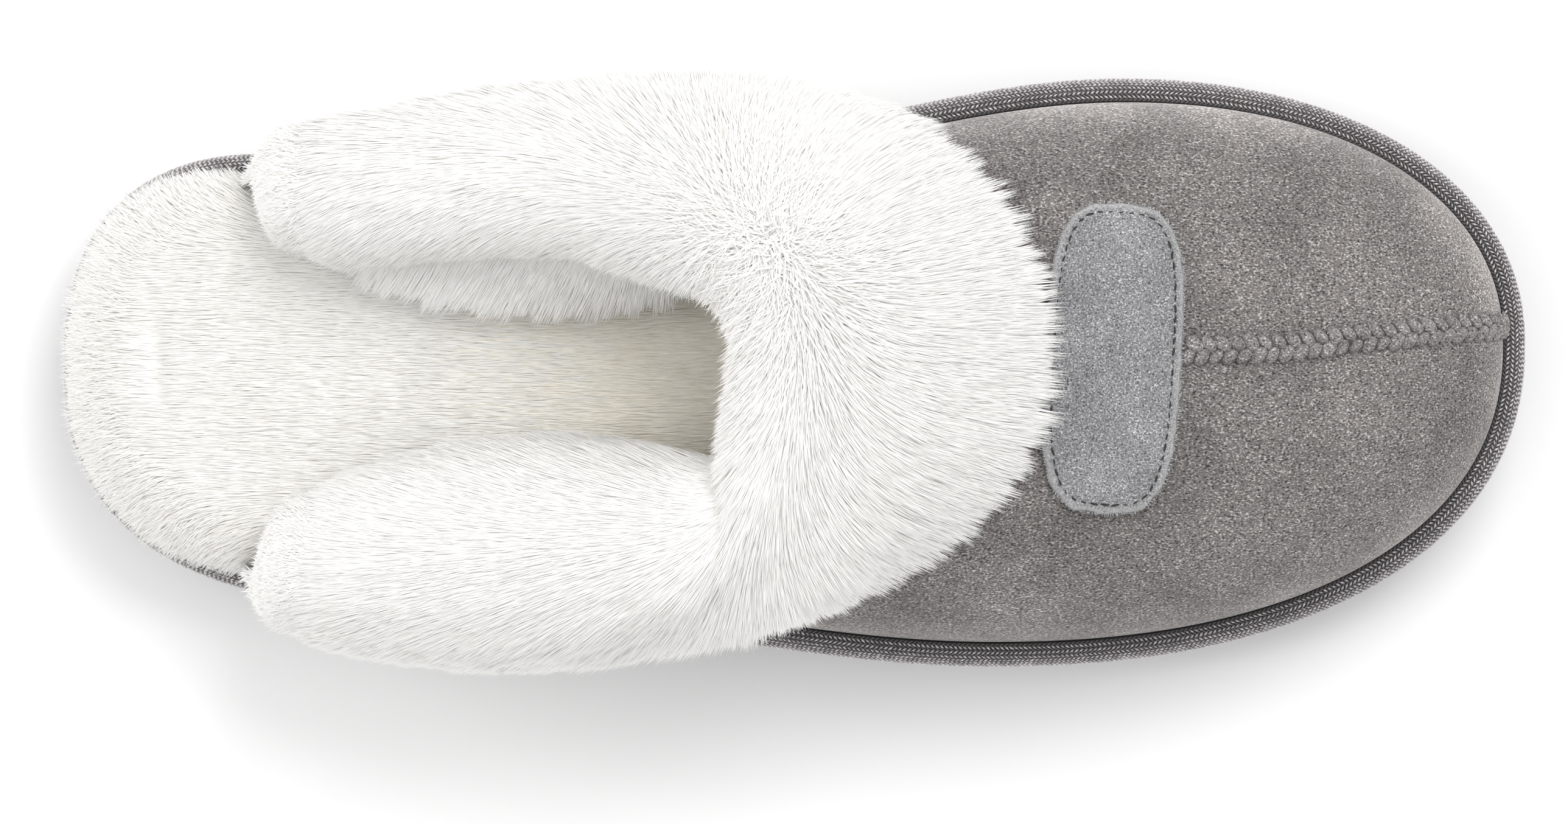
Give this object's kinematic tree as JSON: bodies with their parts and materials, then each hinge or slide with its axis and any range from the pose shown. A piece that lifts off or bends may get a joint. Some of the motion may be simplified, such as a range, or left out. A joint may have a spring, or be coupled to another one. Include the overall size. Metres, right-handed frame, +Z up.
{
  "type": "house slipper",
  "caption": "Right-foot slip-on house slipper with a suede vamp, a deep plush fold-over cuff, an open heel and a tape-bound platform sole.",
  "frame": {"origin": "on the floor, below the middle of the slipper's bounding box", "axes": "+X from heel to toe, +Y towards the inner (medial) side of the foot, +Z up"},
  "size_m": [0.27, 0.1106, 0.0853],
  "materials": {
    "sole_rubber": "matte",
    "platform_foam": "matte",
    "woven_tape": "twill weave",
    "footbed_plush": "plush pile",
    "suede": "napped",
    "seam_suede": "napped, overcast",
    "patch_suede": "suede",
    "cuff_plush": "plush pile"
  },
  "bodies": {
    "root": {"outsole": "sole_rubber", "midsole": "platform_foam", "binding": "woven_tape", "insole": "footbed_plush", "upper": "suede", "toe_seam": "seam_suede", "patch": "patch_suede", "cuff": "cuff_plush"}
  },
  "joints": []
}
